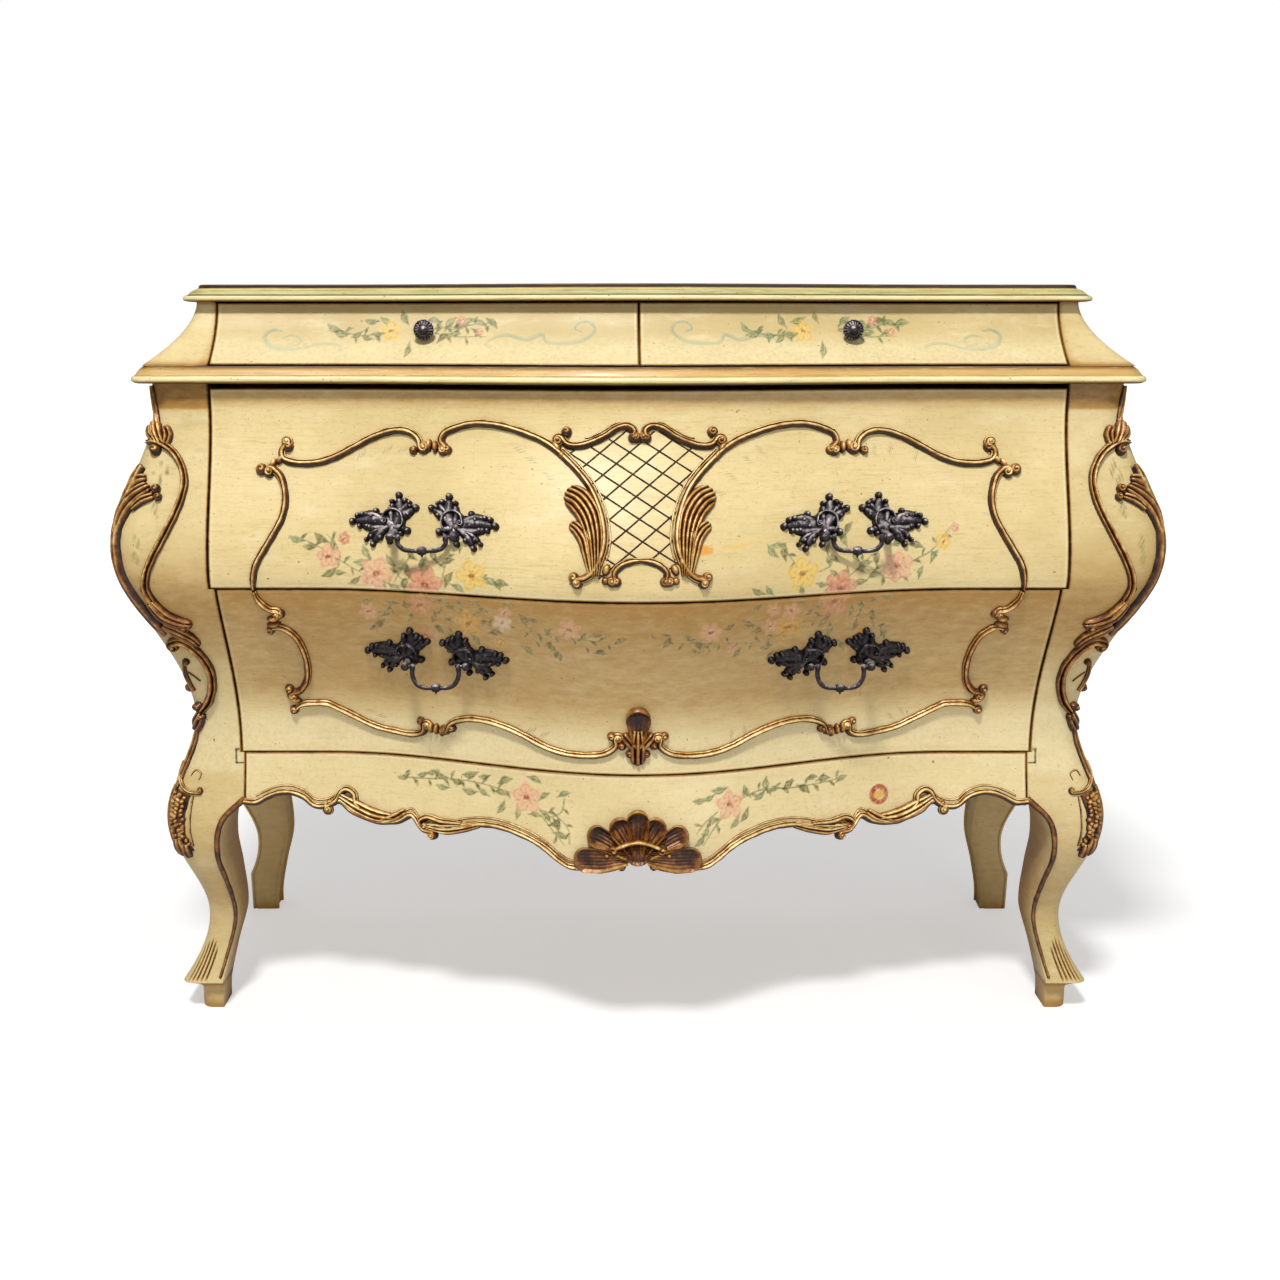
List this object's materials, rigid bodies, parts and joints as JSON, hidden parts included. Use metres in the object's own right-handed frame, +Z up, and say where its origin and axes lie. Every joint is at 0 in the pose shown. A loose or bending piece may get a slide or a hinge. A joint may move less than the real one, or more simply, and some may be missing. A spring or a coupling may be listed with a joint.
{
  "type": "chest of drawers",
  "caption": "Rococo chest of drawers on cabriole legs: bombe serpentine front, carved gilt scrollwork, painted flower sprays, leafy bail handles and a moulded top tier of small drawers.",
  "frame": {"origin": "on the floor, midway across the overall width and depth", "axes": "+X from the user's left to right, -Y towards the front, +Z up"},
  "size_m": [1.2682, 0.5375, 0.926],
  "materials": {
    "cream_paint": "aged cream paint over wood, crackled and rubbed, with painted flower sprays",
    "gilt_carving": "worn gilding over red-brown ground",
    "gilt_moulding": "green-gold glazed moulding, streaked and worn",
    "raw_wood": "unpainted sawn softwood",
    "dark_bronze": "darkened cast bronze"
  },
  "bodies": {
    "case": {"apron_moulding": "gilt_carving", "apron_shell": "gilt_carving", "back_panel": "raw_wood", "case_bottom": "raw_wood", "drawer_rail": "raw_wood", "drawer_runners": "raw_wood", "front_apron": "cream_paint", "front_left_post": "cream_paint", "front_right_post": "cream_paint", "glue_blocks": "raw_wood", "left_leg_moulding": "gilt_carving", "left_post_carving": "gilt_carving", "left_side_apron": "cream_paint", "left_side_panel": "cream_paint", "rear_left_post": "cream_paint", "rear_right_post": "cream_paint", "right_leg_moulding": "gilt_carving", "right_post_carving": "gilt_carving", "right_side_apron": "cream_paint", "right_side_panel": "cream_paint", "top_board": "gilt_moulding", "upper_back": "raw_wood", "upper_divider": "raw_wood", "upper_left_cheek": "cream_paint", "upper_right_cheek": "cream_paint", "waist_top": "gilt_moulding"},
    "left_small_drawer": {"left_knob": "dark_bronze", "left_small_drawer_back": "raw_wood", "left_small_drawer_bottom": "raw_wood", "left_small_drawer_front": "cream_paint", "left_small_drawer_inner_side": "raw_wood", "left_small_drawer_outer_side": "raw_wood"},
    "right_small_drawer": {"right_knob": "dark_bronze", "right_small_drawer_back": "raw_wood", "right_small_drawer_bottom": "raw_wood", "right_small_drawer_front": "cream_paint", "right_small_drawer_inner_side": "raw_wood", "right_small_drawer_outer_side": "raw_wood"},
    "upper_long_drawer": {"acanthus_leaves": "gilt_carving", "cartouche": "gilt_carving", "upper_frame_moulding": "gilt_carving", "upper_handle_plates": "dark_bronze", "upper_long_drawer_back": "raw_wood", "upper_long_drawer_bottom": "raw_wood", "upper_long_drawer_front": "cream_paint", "upper_long_drawer_left_side": "raw_wood", "upper_long_drawer_right_side": "raw_wood"},
    "lower_long_drawer": {"fleuron": "gilt_carving", "lower_frame_moulding": "gilt_carving", "lower_handle_plates": "dark_bronze", "lower_long_drawer_back": "raw_wood", "lower_long_drawer_bottom": "raw_wood", "lower_long_drawer_front": "cream_paint", "lower_long_drawer_left_side": "raw_wood", "lower_long_drawer_right_side": "raw_wood"},
    "upper_left_bail": {"upper_left_bail": "dark_bronze"},
    "upper_right_bail": {"upper_right_bail": "dark_bronze"},
    "lower_left_bail": {"lower_left_bail": "dark_bronze"},
    "lower_right_bail": {"lower_right_bail": "dark_bronze"}
  },
  "joints": [
    {"name": "left_small_drawer_slide", "type": "slide", "parent": "case", "child": "left_small_drawer", "axis": [0, -1, 0], "range_m": [0, 0.23]},
    {"name": "right_small_drawer_slide", "type": "slide", "parent": "case", "child": "right_small_drawer", "axis": [0, -1, 0], "range_m": [0, 0.23]},
    {"name": "upper_long_drawer_slide", "type": "slide", "parent": "case", "child": "upper_long_drawer", "axis": [0, -1, 0], "range_m": [0, 0.28]},
    {"name": "lower_long_drawer_slide", "type": "slide", "parent": "case", "child": "lower_long_drawer", "axis": [0, -1, 0], "range_m": [0, 0.28]},
    {"name": "upper_left_bail_hinge", "type": "hinge", "parent": "upper_long_drawer", "child": "upper_left_bail", "pos_m": [-0.248, -0.21166, 0.643], "axis": [-1, 0, 0], "range_deg": [-5, 85]},
    {"name": "upper_right_bail_hinge", "type": "hinge", "parent": "upper_long_drawer", "child": "upper_right_bail", "pos_m": [0.248, -0.21166, 0.643], "axis": [-1, 0, 0], "range_deg": [-5, 85]},
    {"name": "lower_left_bail_hinge", "type": "hinge", "parent": "lower_long_drawer", "child": "lower_left_bail", "pos_m": [-0.24, -0.17904, 0.484], "axis": [-1, 0, 0], "range_deg": [-5, 85]},
    {"name": "lower_right_bail_hinge", "type": "hinge", "parent": "lower_long_drawer", "child": "lower_right_bail", "pos_m": [0.24, -0.17904, 0.484], "axis": [-1, 0, 0], "range_deg": [-5, 85]}
  ]
}
